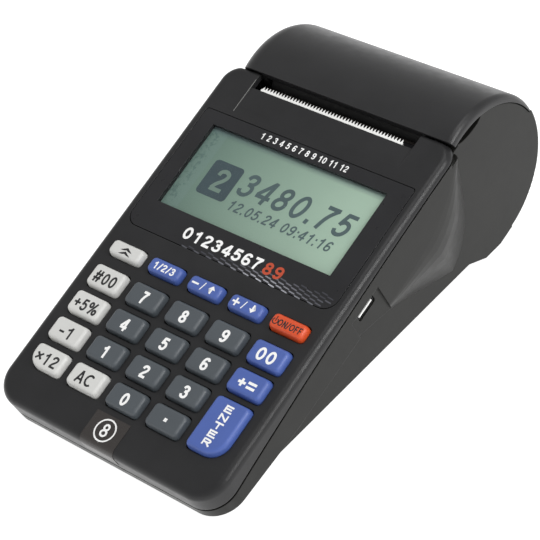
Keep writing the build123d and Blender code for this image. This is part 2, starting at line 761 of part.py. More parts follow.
with BuildPart() as printer_frame:
    for side in (-1, 1):
        with BuildSketch(profile_at(side * frame_x0)):
            with BuildLine():
                Polyline(*SIDE_PLATE, close=True)
            make_face()
        extrude(amount=side * (frame_x1 - frame_x0))
    with BuildSketch(profile):
        with BuildLine():
            Polyline((back_v0, -3.6), (back_v1, -3.6), (back_v1, -16.4), (back_v0, -16.4), close=True)
        make_face()
    extrude(amount=frame_x1, both=True)
    with BuildSketch(deck.offset(ledge_w)):
        with Locations((0, 55.0)):
            Rectangle(2 * inner_half - 0.6, 7.0)
    extrude(amount=1.0)
    with BuildSketch(profile):
        with Locations(idler_c):
            Circle(axle_r)
        with Locations(pinion_c):
            Circle(motor_shaft_r + bore_play)
    extrude(amount=-body_w, mode=Mode.SUBTRACT)
save(printer_frame.part, "printer_frame")

with BuildPart() as print_head:
    with BuildSketch(profile):
        with BuildLine():
            Polyline((head_v1 - head_t, -3.4), (head_v1, -4.4), (head_v1, -14.8), (head_v1 - head_t, -14.8),
                     close=True)
        make_face()
    extrude(amount=29.3, both=True)
save(print_head.part, "print_head")

with BuildPart() as heat_sink:
    with BuildSketch(profile):
        with BuildLine():
            Polyline((head_v1 - head_t - sink_t, -3.6), (head_v1 - head_t, -3.6), (head_v1 - head_t, -14.8),
                     (head_v1 - head_t - sink_t, -15.6), close=True)
        make_face()
    extrude(amount=29.3, both=True)
save(heat_sink.part, "heat_sink")

with BuildPart() as head_spring:
    with BuildSketch(profile):
        with BuildLine():
            Polyline(*SPRING, close=True)
        make_face()
    extrude(amount=8, both=True)
save(head_spring.part, "head_spring")

# serrated strip at the paper slot: teeth point rearward
tooth_pitch = 1.15
tooth_half = 0.36
tooth_depth = 1.3
cutter_t = 0.6
cutter_v0, cutter_v1 = 61.5, 67.3
tooth_count = int(cutter_w / tooth_pitch)
with BuildPart() as cutter_bar:
    with BuildSketch(deck.offset(-cover_t - cutter_t)):
        with Locations((cutter_x, (cutter_v0 + cutter_v1 - tooth_depth) / 2)):
            Rectangle(tooth_count * tooth_pitch, cutter_v1 - tooth_depth - cutter_v0)
        with Locations((cutter_x, cutter_v1 - tooth_depth)):
            with GridLocations(tooth_pitch, 0, tooth_count, 1):
                Polygon((-tooth_half, -0.1), (tooth_half, -0.1), (0, tooth_depth), align=None)
    extrude(amount=cutter_t)
save(cutter_bar.part, "cutter_bar")

# ---- paper --------------------------------------------------------------------------------------------
roll_r = inner_r - roll_room
roll_drop = roll_room - 0.5
roll_c = around(drum_c, roll_drop, -90 - tilt)
core_r, core_bore_r = 6.0, 4.5
with BuildPart() as paper_roll:
    with BuildSketch(profile):
        with Locations(roll_c):
            Circle(roll_r)
            Circle(core_r, mode=Mode.SUBTRACT)
    extrude(amount=paper_w / 2, both=True)
save(paper_roll.part, "paper_roll")

with BuildPart() as paper_core:
    with BuildSketch(profile):
        with Locations(roll_c):
            Circle(core_r)
            Circle(core_bore_r, mode=Mode.SUBTRACT)
    extrude(amount=paper_w / 2, both=True)
save(paper_core.part, "paper_core")

# ---- display ------------------------------------------------------------------------------------------
view_c = ((view_x0 + view_x1) / 2, (view_v0 + view_v1) / 2)
view_w, view_h = view_x1 - view_x0, view_v1 - view_v0
lens_thick = 1.0
with BuildPart() as display_bezel:
    with BuildSketch(deck.offset(-lens_t)):
        with Locations((0, (panel_v0 + panel_v1) / 2)):
            Rectangle(panel_w - 2 * lens_gap, panel_v1 - panel_v0 - 2 * lens_gap)
        fillet(vertices().group_by(Axis.Y)[0], 4.4)
        fillet(vertices().group_by(Axis.Y)[-1], 0.9)
        with Locations(view_c):
            Rectangle(view_w, view_h, mode=Mode.SUBTRACT)
    extrude(amount=lens_t)
save(display_bezel.part, "display_bezel")

with BuildPart() as display_lens:
    with BuildSketch(deck.offset(-lens_thick)):
        with Locations(view_c):
            Rectangle(view_w - 0.02, view_h - 0.02)
    extrude(amount=lens_thick)
save(display_lens.part, "display_lens")

with BuildPart() as lcd_module:
    with BuildSketch(deck.offset(-2.4)):
        with Locations(view_c):
            Rectangle(view_w + 1.4, view_h + 1.4)
    extrude(amount=2.4 - lens_t - 0.1)
    with BuildSketch(deck.offset(-2.4)):
        with Locations(view_c):
            Rectangle(view_w + 6, view_h + 5)
    extrude(amount=-3.6)
save(lcd_module.part, "lcd_module")

# ---- boards ---------------------------------------------------------------------------------------------
flange_w = -2.4         # tops of the flanges that keep the keys in
flange_t = 0.9
mat_w = flange_w - flange_t - key_travel - 0.4
mat_t = 1.0
board_half = body_w / 2 - wall - 2.5
board_v0, board_v1 = -44.6, 6.4


def board_outline(half, v0, v1, notch):
    """Board between the screw bosses in the current sketch."""
    with Locations((0, (v0 + v1) / 2)):
        Rectangle(2 * half, v1 - v0)
    with Locations(*POSTS):
        Circle(boss_r + notch, mode=Mode.SUBTRACT)


with BuildPart() as key_mat:
    with BuildSketch(deck.offset(mat_w - mat_t)):
        board_outline(board_half, board_v0, board_v1, 0.3)
    extrude(amount=mat_t)
save(key_mat.part, "key_mat")

with BuildPart() as keypad_board:
    with BuildSketch(deck.offset(mat_w - mat_t - board_t)):
        board_outline(board_half, board_v0, board_v1, 0.3)
    extrude(amount=board_t)
save(keypad_board.part, "keypad_board")

with BuildPart() as main_board:
    with BuildSketch(deck.offset(main_w - board_t)):
        board_outline(inner_half - 2 * fit, main_v0, main_v1, 0.3)
    extrude(amount=board_t)
save(main_board.part, "main_board")

socket_x0, socket_x1 = 37.6, 43.2
socket_w, socket_h, shell_t = 7.5, 2.7, 0.3
with BuildPart() as usb_socket:
    with BuildSketch(profile_at(socket_x0)):
        with Locations((port_v, port_w)):
            RectangleRounded(socket_w, socket_h, 0.7)
    extrude(amount=socket_x1 - socket_x0)
    with BuildSketch(profile_at(socket_x0 + 1)):
        with Locations((port_v, port_w)):
            RectangleRounded(socket_w - 2 * shell_t, socket_h - 2 * shell_t, 0.45)
    extrude(amount=socket_x1 - socket_x0, mode=Mode.SUBTRACT)
    with BuildSketch(profile_at(socket_x0 + 0.5)):
        with Locations((port_v, port_w)):
            Rectangle(socket_w - 2.6, 0.6)
    extrude(amount=socket_x1 - socket_x0 - 1.4)
save(usb_socket.part, "usb_socket")

with BuildPart() as buzzer:
    with BuildSketch(deck.offset(main_w)):
        with Locations((-24, 32)):
            Circle(5.5)
            Circle(1.0, mode=Mode.SUBTRACT)
    extrude(amount=3.4)
save(buzzer.part, "buzzer")

# ---- seal label, folded over the front rim ------------------------------------------------------------
label_half, label_v, label_t, label_drop = 6.6, -45.2, 0.12, -5.6
with BuildPart() as seal_label:
    with BuildSketch(profile):
        with BuildLine():
            Line((label_v, 0), (front_v + rim_r, 0))
            JernArc((front_v + rim_r, 0), (-1, 0), rim_r, 90)
            Line((front_v, -rim_r), (front_v, label_drop))
            Line((front_v, label_drop), (front_v - label_t, label_drop))
            Line((front_v - label_t, label_drop), (front_v - label_t, -rim_r))
            JernArc((front_v - label_t, -rim_r), (0, 1), rim_r + label_t, -90)
            Line((front_v + rim_r, label_t), (label_v, label_t))
            Line((label_v, label_t), (label_v, 0))
        make_face()
    extrude(amount=label_half, both=True)
save(seal_label.part, "seal_label")

# ---- keys -----------------------------------------------------------------------------------------------
key_flange = 0.7
cap_straight = 0.9      # height above the deck at which a key starts to narrow
cap_taper = 26.0

for key in KEYS:
    with BuildPart() as button:
        with BuildSketch(deck.offset(flange_w)):
            key_outline(*key, 0)
        extrude(amount=cap_straight - flange_w)
        with BuildSketch(deck.offset(cap_straight)):
            key_outline(*key, 0)
        extrude(amount=key_top - cap_straight, taper=cap_taper)
        with BuildSketch(deck.offset(flange_w)):
            with Locations(key_centre(key[1], key[2])):
                Rectangle(key_w + 2 * key_flange, key[3] + 2 * key_flange)
        extrude(amount=-flange_t)
    save(button.part, "key_" + key[0])
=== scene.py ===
"""The ticket register's looks: finishes, key caps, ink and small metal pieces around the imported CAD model."""

import json
from math import atan2, cos, exp, pi, radians, sin

import bmesh
import bpy
from mathutils import Matrix, Vector


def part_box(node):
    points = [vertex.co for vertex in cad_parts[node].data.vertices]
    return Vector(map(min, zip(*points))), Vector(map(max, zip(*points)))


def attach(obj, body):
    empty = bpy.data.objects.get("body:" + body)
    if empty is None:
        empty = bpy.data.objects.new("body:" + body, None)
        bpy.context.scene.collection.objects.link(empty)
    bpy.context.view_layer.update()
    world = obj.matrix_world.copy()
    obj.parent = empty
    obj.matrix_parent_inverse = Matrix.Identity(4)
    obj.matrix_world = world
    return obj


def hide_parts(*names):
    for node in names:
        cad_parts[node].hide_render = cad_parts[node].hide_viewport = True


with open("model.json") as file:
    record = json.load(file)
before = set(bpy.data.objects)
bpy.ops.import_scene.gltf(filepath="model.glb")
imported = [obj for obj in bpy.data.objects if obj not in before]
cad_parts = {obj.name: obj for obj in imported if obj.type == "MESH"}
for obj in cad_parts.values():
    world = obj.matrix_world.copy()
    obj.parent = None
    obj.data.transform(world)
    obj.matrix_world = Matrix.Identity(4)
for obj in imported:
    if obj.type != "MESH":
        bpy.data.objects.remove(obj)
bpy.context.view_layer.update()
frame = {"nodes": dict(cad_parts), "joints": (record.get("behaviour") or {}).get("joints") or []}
nodes = frame["nodes"]
joints = {joint["name"]: joint for joint in frame["joints"]}

# ---- the sloping deck's own frame: x to the right, v rearward along the deck, w out of it ----------
MM = 0.001
press_axis = Vector(joints["press_5"]["axis"])
tilt = atan2(press_axis.y, -press_axis.z)
across = Vector((1, 0, 0))
rearward = Vector((0, cos(tilt), sin(tilt)))
outward = Vector((0, -sin(tilt), cos(tilt)))
panel_rear_v = 53.85    # rear edge of the display panel
panel_thick = 1.5       # thickness of the panel
view_rear_v = 49.4      # rear edge of the display's window
panel_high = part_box("display_bezel")[1]
panel_rear_edge = Vector((0, panel_high.y - panel_thick * MM * sin(tilt), panel_high.z))
deck_origin = panel_rear_edge - rearward * panel_rear_v * MM


def deck(x, v, w):
    """World point of a place on the deck, from millimetres."""
    return deck_origin + (across * x + rearward * v + outward * w) * MM


def deck_matrix(x, v, w):
    """Places a piece on the deck: its x to the right, its y rearward, sizes in millimetres."""
    axes = [[part * MM for part in axis] for axis in (across, rearward, outward)]
    matrix = Matrix(axes).transposed().to_4x4()
    matrix.translation = deck(x, v, w)
    return matrix


def deck_box(node):
    """Lowest and highest (x, v, w) of a CAD node in the deck's frame, in millimetres."""
    found = []
    for vertex in nodes[node].data.vertices:
        gap = (vertex.co - deck_origin) / MM
        found.append((gap.x, gap.dot(rearward), gap.dot(outward)))
    return [min(part) for part in zip(*found)], [max(part) for part in zip(*found)]


# ---- materials -----------------------------------------------------------------------------------
def srgb(red, green, blue):
    """Linear colour of an 8-bit colour as the eye reads it."""
    def linear(level):
        share = level / 255
        return share / 12.92 if share <= 0.04045 else ((share + 0.055) / 1.055) ** 2.4
    return (linear(red), linear(green), linear(blue), 1.0)


upright_from, upright_full = 0.84, 0.94     # how far a normal points aside where a wall counts as upright
cloud_mm, gloss_mm = 14.0, 3.0              # size of the slow changes of tone and of gloss


class Nodes:
    """A material with its node tree and short ways to add to it."""

    def __init__(self, name):
        self.material = bpy.data.materials.new(name)
        self.material.use_nodes = True
        self.tree = self.material.node_tree
        self.shader = self.tree.nodes["Principled BSDF"]
        self.place = self.add("ShaderNodeTexCoord").outputs["Object"]

    def feed(self, socket, value):
        """Links another socket to a socket, or sets its value."""
        if isinstance(value, bpy.types.NodeSocket):
            self.tree.links.new(value, socket)
        else:
            socket.default_value = value

    def add(self, kind, inputs=None, **settings):
        """A node with some settings made and some sockets fed."""
        node = self.tree.nodes.new(kind)
        for key, value in settings.items():
            setattr(node, key, value)
        for key, value in (inputs or {}).items():
            self.feed(node.inputs[key], value)
        return node

    def set(self, **values):
        """Feeds the shader's own sockets, written with _ for a space."""
        for key, value in values.items():
            self.feed(self.shader.inputs[key.replace("_", " ")], value)

    def noise(self, size_mm, detail=3.0):
        """Noise with features of a size in millimetres, as a factor from 0 to 1."""
        inputs = {"Vector": self.place, "Scale": 1 / (size_mm * MM), "Detail": detail}
        return self.add("ShaderNodeTexNoise", inputs).outputs["Fac"]

    def ramp(self, factor, low, high, start=0.3, end=0.7):
        """A factor mapped to a range of numbers."""
        inputs = {"Value": factor, "From Min": start, "From Max": end, "To Min": low, "To Max": high}
        return self.add("ShaderNodeMapRange", inputs).outputs["Result"]

    def mix(self, factor, first, second):
        """Two colours mixed by a factor, in the sockets that a mix node has for colours."""
        return self.add("ShaderNodeMix", {0: factor, 6: first, 7: second}, data_type="RGBA").outputs[2]

    def math(self, operation, first, second=0.0):
        """One sum on two numbers."""
        return self.add("ShaderNodeMath", {0: first, 1: second}, operation=operation).outputs["Value"]

    def vector(self, operation, first, second=(0, 0, 0), output="Vector"):
        """One sum on two vectors."""
        return self.add("ShaderNodeVectorMath", {0: first, 1: second}, operation=operation).outputs[output]

    def steepen(self, normal, amount):
        """Turns the normals of nearly upright side walls further, so that a shallow flare reads as moulded."""
        aside = self.vector("DOT_PRODUCT", normal, across, output="Value")
        share = self.ramp(self.math("ABSOLUTE", aside), 0, amount, upright_from, upright_full)
        slope = self.vector("MULTIPLY", normal, (0, 1, 1))
        added = self.add("ShaderNodeVectorMath", {0: slope, "Scale": share}, operation="SCALE")
        return self.vector("NORMALIZE", self.vector("ADD", normal, added.outputs["Vector"]))

    def bump(self, height, depth_mm, edge_mm=0.0, steeper=0.0):
        """A bump of a height pattern, joined to the shader, on edges that look rounded by a radius."""
        sockets = {"Height": height, "Distance": depth_mm * MM}
        if edge_mm:
            bevel = self.add("ShaderNodeBevel", {"Radius": edge_mm * MM}, samples=6)
            sockets["Normal"] = bevel.outputs["Normal"]
        if steeper:
            sockets["Normal"] = self.steepen(sockets["Normal"], steeper)
        self.set(Normal=self.add("ShaderNodeBump", sockets).outputs["Normal"])

    def deck_coordinates(self):
        """Sockets with x and v of the deck, in millimetres."""
        place = self.vector("SUBTRACT", self.place, deck_origin)
        metres = [self.vector("DOT_PRODUCT", place, axis, output="Value") for axis in (across, rearward)]
        return [self.math("MULTIPLY", length, 1 / MM) for length in metres]


def tinted(colour, factor):
    """A colour made darker or lighter."""
    return tuple(channel * factor for channel in colour[:3]) + (1.0,)


def plastic(name, colour, roughness, grain_mm=0.35, grain_depth=0.012, spread=0.12, specular=0.5, edge_mm=0.0,
            steeper=0.0):
    """Moulded plastic: fine spark texture, slow changes of tone and of gloss."""
    made = Nodes(name)
    cloud = made.ramp(made.noise(cloud_mm, 4.0), 0, 1)
    made.set(Base_Color=made.mix(cloud, tinted(colour, 1 - spread), tinted(colour, 1 + spread)))
    made.set(Roughness=made.ramp(made.noise(gloss_mm, 5.0), roughness * 0.9, roughness * 1.12))
    made.set(Specular_IOR_Level=specular)
    made.bump(made.noise(grain_mm, 2.0), grain_depth, edge_mm=edge_mm, steeper=steeper)
    return made.material


def metal(name, colour, roughness):
    """Metal with a fine grain."""
    made = Nodes(name)
    grain = made.noise(0.3, 4.0)
    made.set(Base_Color=made.mix(grain, tinted(colour, 0.85), colour))
    made.set(Metallic=1.0, Roughness=made.ramp(grain, roughness * 0.7, roughness * 1.4))
    made.bump(grain, 0.004)
    return made.material


def paint(node, material):
    """Gives a CAD node its finish."""
    data = nodes[node].data
    data.materials.clear()
    data.materials.append(material)
    for polygon in data.polygons:
        polygon.material_index = 0


MATERIALS = {
    "cover": plastic("cover_black", srgb(40, 40, 41), 0.32, specular=0.25, edge_mm=0.35),
    "lid": plastic("lid_black", srgb(36, 36, 37), 0.36, specular=0.4, edge_mm=0.3),
    "case": plastic("case_grey", srgb(28, 28, 26), 0.32, grain_mm=0.3, specular=0.2, edge_mm=0.3,
                    steeper=2.0),
    "panel": plastic("panel_black", srgb(36, 36, 38), 0.30, grain_mm=0.2, grain_depth=0.003, specular=0.3,
                     edge_mm=0.15),
    "mechanism": plastic("mechanism_black", srgb(18, 18, 18), 0.5),
    "key_light": plastic("key_light_grey", srgb(213, 213, 210), 0.42, spread=0.03),
    "key_slate": plastic("key_slate_grey", srgb(76, 82, 87), 0.42, spread=0.05),
    "key_blue": plastic("key_blue", srgb(74, 98, 170), 0.40, spread=0.05),
    "key_orange": plastic("key_orange", srgb(214, 78, 34), 0.40, spread=0.04),
    "ink_white": plastic("ink_white", srgb(246, 246, 245), 0.5, grain_depth=0.004, spread=0.02),
    "ink_dark": plastic("ink_dark", srgb(28, 28, 30), 0.5, grain_depth=0.004, spread=0.05),
    "ink_orange": plastic("ink_orange", srgb(188, 72, 40), 0.5, grain_depth=0.004, spread=0.04),
    "lcd_figures": plastic("display_ink", srgb(80, 100, 102), 0.55, grain_mm=0.5, grain_depth=0.002,
                           spread=0.08),
    "lcd_tile": plastic("ink_display", srgb(64, 82, 88), 0.55, grain_mm=0.5, grain_depth=0.002, spread=0.08),
    "lcd_number": plastic("display_pale", srgb(118, 142, 130), 0.5, grain_depth=0.002, spread=0.03),
    # painted highlight: a light colour for the thin strip on the ramp's edge
    "glint": plastic("painted_edge_highlight", srgb(128, 128, 126), 0.35, grain_depth=0.002, spread=0.1),
    "rubber": plastic("rubber_black", srgb(24, 24, 24), 0.75, grain_depth=0.03),
    "board": plastic("board_green", srgb(24, 90, 50), 0.35),
    # painted shade: the gears are white, but they get a dark colour for the shade they sit in
    "gear": plastic("gear_painted_shade", srgb(34, 34, 34), 0.45, spread=0.05),
    "paper": plastic("paper_white", srgb(238, 238, 234), 0.7, grain_mm=0.15, grain_depth=0.01, spread=0.02),
    "card": plastic("core_card", srgb(150, 120, 85), 0.8, grain_mm=0.6, grain_depth=0.03),
    "wrap": plastic("battery_wrap", srgb(40, 80, 150), 0.3),
    "silicone": plastic("silicone_grey", srgb(120, 122, 124), 0.6),
    "ceramic": plastic("ceramic_head", srgb(44, 40, 38), 0.25, spread=0.05),
    "label": plastic("label_grey", srgb(52, 48, 46), 0.26, grain_mm=0.5, grain_depth=0.003, spread=0.05),
    "steel": metal("steel_bright", srgb(200, 200, 198), 0.28),
    # painted highlight: the cutter is bright steel, and this near-white plain colour stands in for the shine of
    # the lit metal; the socket's tongue uses it too
    "cutter": plastic("white_painted_highlight", srgb(244, 244, 242), 0.35, grain_depth=0.004, spread=0.03),
    "plated": metal("steel_plated", srgb(170, 172, 175), 0.4),
    # painted shade: the heat sink is aluminium, but like the gears it gets a near-black colour for the shade it
    # sits in
    "aluminium": metal("aluminium_painted_shade", srgb(38, 38, 40), 0.42),
}


lcd_dark_x, lcd_light_x = -30, 31       # the display turns lighter from left to right
reflection_strip_x, reflection_strip_end_x = -28.9, -28.3     # painted reflection: a lighter strip along its left end
reflected_marks_x, reflected_marks_end_x = -31.6, -30.2     # painted reflection: faint dark marks inside the strip
shade_long = 2.2                        # shadow of the window's rear edge, along v


def lcd_material():
    """Grey-green reflective display: darker to the left, with a painted reflection (a lighter strip and faint
    marks) at its left end, shaded under the window's rear edge.
    """
    made = Nodes("lcd_green")
    x, v = made.deck_coordinates()
    base = made.mix(made.ramp(x, 0, 1, lcd_dark_x, lcd_light_x), srgb(108, 135, 123), srgb(180, 208, 187))
    # these specks and the strip and mark layers below paint a reflection at the display's left end
    reflected_specks = made.ramp(made.noise(1.3), 0, 1, 0.5, 0.62)
    layers = ((made.ramp(made.noise(16.0), 0, 1), 0.12, srgb(132, 158, 144)),
              (made.ramp(x, 1, 0, reflection_strip_x, reflection_strip_end_x), 0.6, srgb(118, 144, 136)),
              (made.math("MULTIPLY", made.ramp(x, 1, 0, reflected_marks_x, reflected_marks_end_x), reflected_specks), 0.5, srgb(74, 102, 98)),
              (made.ramp(v, 0, 1, view_rear_v - shade_long, view_rear_v), 0.75, srgb(78, 94, 102)))
    for pattern, share, colour in layers:
        base = made.mix(made.math("MULTIPLY", pattern, share), base, colour)
    made.set(Base_Color=base, Roughness=0.45)
    made.bump(made.noise(0.4, 2.0), 0.002)
    return made.material


def lens_material():
    """Clear window that only adds a faint gloss."""
    made = Nodes("lens_clear")
    made.set(Base_Color=(0.02, 0.02, 0.02, 1.0), Roughness=0.1, Specular_IOR_Level=0.4, Alpha=0.05)
    return made.material


PAINT = {
    "cover": ["top_cover"],
    "lid": ["paper_lid"],
    "case": ["lower_case", "battery_door"],
    "panel": ["display_bezel", "buzzer"],
    "rubber": ["rubber_feet", "platen_rubber"],
    "board": ["keypad_board", "main_board"],
    "gear": ["platen_gear", "idler_gear", "motor_pinion"],
    "paper": ["paper_roll"],
    "card": ["paper_core"],
    "wrap": ["battery_pack"],
    "silicone": ["key_mat"],
    "ceramic": ["print_head"],
    "label": ["seal_label"],
    "steel": ["hinge_pin", "platen_shaft", "motor_shaft", "idler_axle", "head_spring"],
    "cutter": ["cutter_bar"],
    "plated": ["door_screw", "case_screws", "motor_body"],
    "mechanism": ["printer_frame", "usb_socket"],
    "aluminium": ["heat_sink"],
}
for finish, members in PAINT.items():
    for member in members:
        paint(member, MATERIALS[finish])
paint("lcd_module", lcd_material())
paint("display_lens", lens_material())


# ---- building pieces ---------------------------------------------------------------------------------
def finished_mesh(name, shape, matrix):
    """Turns a shape in the deck's millimetres into a mesh in its place."""
    mesh = bpy.data.meshes.new(name)
    shape.to_mesh(mesh)
    shape.free()
    mesh.transform(matrix)
    return mesh


def make_object(name, mesh, material, body):
    """Links a mesh as a piece that rides on a body."""
    mesh.materials.append(material)
    piece = bpy.data.objects.new(name, mesh)
    bpy.context.scene.collection.objects.link(piece)
    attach(piece, body)
    return piece


least_bend = 0.12       # smallest corner radius left by an inset


def rounded_outline(half_x, half_y, radii, inset, steps):
    """Points of a rectangle with its own radius at each corner, drawn in by an inset, counter-clockwise."""
    points = []
    corners = [(1, -1, -90), (1, 1, 0), (-1, 1, 90), (-1, -1, 180)]
    for (side_x, side_y, start), radius in zip(corners, radii):
        bend = max(radius - inset, least_bend)
        centre_x = side_x * (half_x - inset - bend)
        centre_y = side_y * (half_y - inset - bend)
        for step in range(steps + 1):
            angle = radians(start + 90 * step / steps)
            points.append((centre_x + bend * cos(angle), centre_y + bend * sin(angle)))
    return points


def ring_mesh(name, rings, matrix):
    """A closed solid from rings of equal length, each (points, height), lowest ring first."""
    shape = bmesh.new()
    loops = [[shape.verts.new((x, y, height)) for x, y in points] for points, height in rings]
    for below, above in zip(loops, loops[1:]):
        for i in range(len(below)):
            j = (i + 1) % len(below)
            shape.faces.new((below[i], below[j], above[j], above[i]))
    shape.faces.new(loops[-1])
    shape.faces.new(list(reversed(loops[0])))
    for face in shape.faces:
        face.smooth = len(face.verts) == 4
    return finished_mesh(name, shape, matrix)


# ---- keys: rounded caps in the place of the CAD keys -------------------------------------------------
# height above the deck and inset of each ring of a cap, from the flange under the cover to the top face
KEY_SHAPE = [(-3.3, -0.7), (-2.4, -0.7), (-2.35, 0.0), (0.0, 0.04), (1.0, 0.2), (1.4, 0.34), (1.7, 0.52),
             (1.9, 0.74), (2.04, 0.98), (2.09, 1.16), (2.1, 1.3)]
key_corner = 1.7
count_corner = 4.6      # front left corner of the key with a count
enter_corner = 6.2      # front right corner of the tall key
corner_steps = 6
LIGHT_KEYS = ["feed", "code", "group", "void", "count", "clear"]
BLUE_KEYS = ["shift", "minus", "plus", "pay", "subtotal", "enter"]
ORANGE_KEYS = ["power"]


def key_colour(name):
    """Material name of a key."""
    for colour, members in (("key_light", LIGHT_KEYS), ("key_blue", BLUE_KEYS), ("key_orange", ORANGE_KEYS)):
        if name in members:
            return colour
    return "key_slate"


def key_place(name):
    """Centre and half sizes of a key's cap on the deck, without its flange."""
    low, high = deck_box("key_" + name)
    flange = -KEY_SHAPE[0][1]
    return ((low[0] + high[0]) / 2, (low[1] + high[1]) / 2, (high[0] - low[0]) / 2 - flange,
            (high[1] - low[1]) / 2 - flange)


def build_key(name):
    """One key cap with a rolled top edge."""
    x, v, half_x, half_y = key_place(name)
    radii = [key_corner] * 4
    if name == "count":
        radii[3] = count_corner
    if name == "enter":
        radii[0] = enter_corner
    rings = [(rounded_outline(half_x, half_y, radii, inset, corner_steps), height)
             for height, inset in KEY_SHAPE]
    mesh = ring_mesh("cap_" + name, rings, deck_matrix(x, v, 0))
    colour = key_colour(name)
    piece = make_object("cap_" + name, mesh, MATERIALS[colour], "key_" + name)
    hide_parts("key_" + name)


KEY_NAMES = [node[len("key_"):] for node in nodes if node.startswith("key_") and node != "key_mat"]
for key_name in KEY_NAMES:
    build_key(key_name)

# ---- legends: flat ink on the keys, the display, the panel and the label ------------------------------
# Plain figures drawn as strokes in a box one unit tall: L is a run of straight lines, S a smooth line, E part
# of an ellipse (centre, half sizes, first and last angle). The first number is the width the figure takes.
GLYPHS = {
    "0": (0.72, [("E", 0.30, 0.50, 0.205, 0.41, 0, 360)]),
    "1": (0.72, [("L", (0.36, 0.0), (0.36, 1.0)), ("S", (0.36, 0.93), (0.27, 0.80), (0.10, 0.70))]),
    "2": (0.72, [("S", (0.10, 0.68), (0.14, 0.84), (0.30, 0.91), (0.46, 0.84), (0.49, 0.70), (0.40, 0.52),
                  (0.22, 0.32), (0.11, 0.11)), ("L", (0.06, 0.09), (0.56, 0.09))]),
    "3": (0.72, [("S", (0.10, 0.73), (0.16, 0.87), (0.29, 0.91), (0.43, 0.85), (0.46, 0.71), (0.39, 0.58),
                  (0.23, 0.54)), ("S", (0.23, 0.54), (0.43, 0.49), (0.50, 0.31), (0.43, 0.14), (0.29, 0.09),
                                  (0.14, 0.14), (0.08, 0.29))]),
    "4": (0.72, [("L", (0.40, 0.95), (0.07, 0.33)), ("L", (0.03, 0.29), (0.60, 0.29)),
                 ("L", (0.42, 1.0), (0.42, 0.0))]),
    "5": (0.72, [("L", (0.54, 0.91), (0.16, 0.91)), ("L", (0.19, 0.96), (0.12, 0.46)),
                 ("S", (0.12, 0.50), (0.22, 0.60), (0.33, 0.61), (0.46, 0.52), (0.50, 0.34), (0.43, 0.16),
                  (0.29, 0.09), (0.14, 0.14), (0.08, 0.28))]),
    "6": (0.72, [("E", 0.30, 0.31, 0.20, 0.22, 0, 360),
                 ("S", (0.48, 0.76), (0.43, 0.87), (0.31, 0.91), (0.17, 0.82), (0.10, 0.58), (0.10, 0.34))]),
    "7": (0.72, [("L", (0.06, 0.91), (0.56, 0.91)),
                 ("S", (0.51, 0.91), (0.35, 0.66), (0.26, 0.38), (0.22, 0.0))]),
    "8": (0.72, [("E", 0.30, 0.72, 0.17, 0.19, 0, 360), ("E", 0.30, 0.30, 0.205, 0.21, 0, 360)]),
    "9": (0.72, [("E", 0.30, 0.69, 0.20, 0.22, 0, 360),
                 ("S", (0.12, 0.24), (0.17, 0.13), (0.29, 0.09), (0.43, 0.18), (0.50, 0.42), (0.50, 0.66))]),
    ".": (0.36, [("L", (0.13, 0.0), (0.13, 0.19))]),
    ":": (0.36, [("L", (0.13, 0.0), (0.13, 0.19)), ("L", (0.13, 0.52), (0.13, 0.71))]),
    "-": (0.50, [("L", (0.04, 0.42), (0.40, 0.42))]),
    "+": (0.78, [("L", (0.05, 0.5), (0.65, 0.5)), ("L", (0.35, 0.2), (0.35, 0.8))]),
    "x": (0.74, [("L", (0.08, 0.24), (0.58, 0.76)), ("L", (0.08, 0.76), (0.58, 0.24))]),
    "=": (0.80, [("L", (0.02, 0.32), (0.70, 0.32)), ("L", (0.02, 0.68), (0.70, 0.68))]),
    "/": (0.50, [("L", (0.04, 0.0), (0.36, 1.0))]),
    "#": (0.86, [("L", (0.16, 0.0), (0.30, 1.0)), ("L", (0.46, 0.0), (0.60, 1.0)),
                 ("L", (0.02, 0.33), (0.68, 0.33)), ("L", (0.08, 0.67), (0.74, 0.67))]),
    "%": (1.06, [("E", 0.21, 0.74, 0.14, 0.18, 0, 360), ("E", 0.73, 0.26, 0.14, 0.18, 0, 360),
                 ("L", (0.24, 0.0), (0.70, 1.0))]),
    "A": (0.82, [("L", (0.05, 0.0), (0.35, 1.0)), ("L", (0.65, 0.0), (0.35, 1.0)),
                 ("L", (0.15, 0.30), (0.55, 0.30))]),
    "C": (0.88, [("E", 0.42, 0.50, 0.34, 0.41, 48, 312)]),
    "E": (0.80, [("L", (0.12, 0.0), (0.12, 1.0)), ("L", (0.05, 0.91), (0.62, 0.91)),
                 ("L", (0.05, 0.52), (0.56, 0.52)), ("L", (0.05, 0.09), (0.64, 0.09))]),
    "F": (0.76, [("L", (0.12, 0.0), (0.12, 1.0)), ("L", (0.05, 0.91), (0.60, 0.91)),
                 ("L", (0.05, 0.50), (0.52, 0.50))]),
    "R": (0.82, [("L", (0.12, 0.0), (0.12, 1.0)), ("S", (0.12, 0.91), (0.40, 0.91), (0.55, 0.84), (0.59, 0.71),
                                                  (0.54, 0.57), (0.40, 0.49), (0.12, 0.49)),
                 ("L", (0.34, 0.49), (0.62, 0.0))]),
    "T": (0.76, [("L", (0.34, 0.0), (0.34, 1.0)), ("L", (0.02, 0.91), (0.66, 0.91))]),
    "O": (0.98, [("E", 0.43, 0.50, 0.345, 0.41, 0, 360)]),
    "N": (0.86, [("L", (0.12, 0.0), (0.12, 1.0)), ("L", (0.12, 0.93), (0.62, 0.07)),
                 ("L", (0.62, 0.0), (0.62, 1.0))]),
    " ": (0.40, []),
}


letter_gap = 0.12       # free width that a figure keeps at its right
smooth_steps, ellipse_steps = 6, 32


def smooth_part(a, b, c, d, t):
    """One coordinate on the way from b to c of a Catmull-Rom curve through a, b, c and d."""
    return 0.5 * (2 * b + (c - a) * t + (2 * a - 5 * b + 4 * c - d) * t * t + (3 * b - a - 3 * c + d) * t ** 3)


